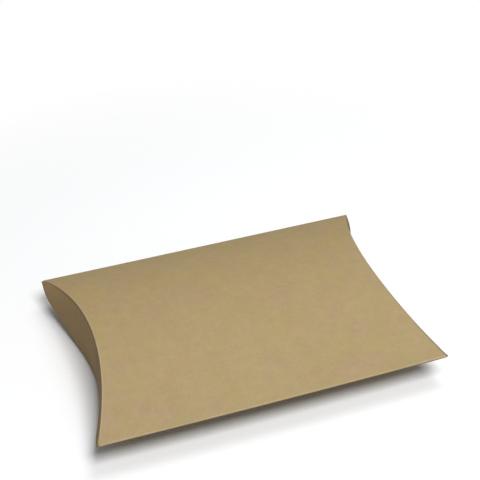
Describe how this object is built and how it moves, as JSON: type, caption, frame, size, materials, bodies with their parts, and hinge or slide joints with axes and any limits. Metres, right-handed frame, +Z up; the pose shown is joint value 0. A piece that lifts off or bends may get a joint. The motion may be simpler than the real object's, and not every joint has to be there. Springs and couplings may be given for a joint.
{
  "type": "pillow box",
  "caption": "Closed kraft-board pillow box with arched panels, straight side folds and tucked, curved-crease end flaps that swing.",
  "frame": {"origin": "on the surface that the box rests on, under the middle of the box", "axes": "+X along the box towards its right end, +Y across it towards the glued rear side fold, +Z up"},
  "size_m": [0.1774, 0.121, 0.03],
  "materials": {
    "kraft_board": "matte",
    "adhesive": "satin"
  },
  "bodies": {
    "sleeve": {"top_panel": "kraft_board", "bottom_panel": "kraft_board", "front_fold": "kraft_board", "rear_fold": "kraft_board", "glue_flap": "kraft_board", "glue_line": "adhesive", "right_top_crease": "kraft_board", "right_bottom_crease": "kraft_board", "left_top_crease": "kraft_board", "left_bottom_crease": "kraft_board"},
    "right_outer_flap": {"right_outer_flap": "kraft_board"},
    "right_inner_flap": {"right_inner_flap": "kraft_board"},
    "left_outer_flap": {"left_outer_flap": "kraft_board"},
    "left_inner_flap": {"left_inner_flap": "kraft_board"}
  },
  "joints": [
    {"name": "right_outer_flap_hinge", "type": "hinge", "parent": "sleeve", "child": "right_outer_flap", "pos_m": [0.074, 0, 0.03], "axis": [0, -1, 0], "range_deg": [0, 90]},
    {"name": "right_inner_flap_hinge", "type": "hinge", "parent": "sleeve", "child": "right_inner_flap", "pos_m": [0.0728, 0, 0.00085], "axis": [0, -1, 0], "range_deg": [0, 80]},
    {"name": "left_outer_flap_hinge", "type": "hinge", "parent": "sleeve", "child": "left_outer_flap", "pos_m": [-0.074, 0, 0.03], "axis": [0, 1, 0], "range_deg": [0, 90]},
    {"name": "left_inner_flap_hinge", "type": "hinge", "parent": "sleeve", "child": "left_inner_flap", "pos_m": [-0.0728, 0, 0.00085], "axis": [0, 1, 0], "range_deg": [0, 80]}
  ]
}
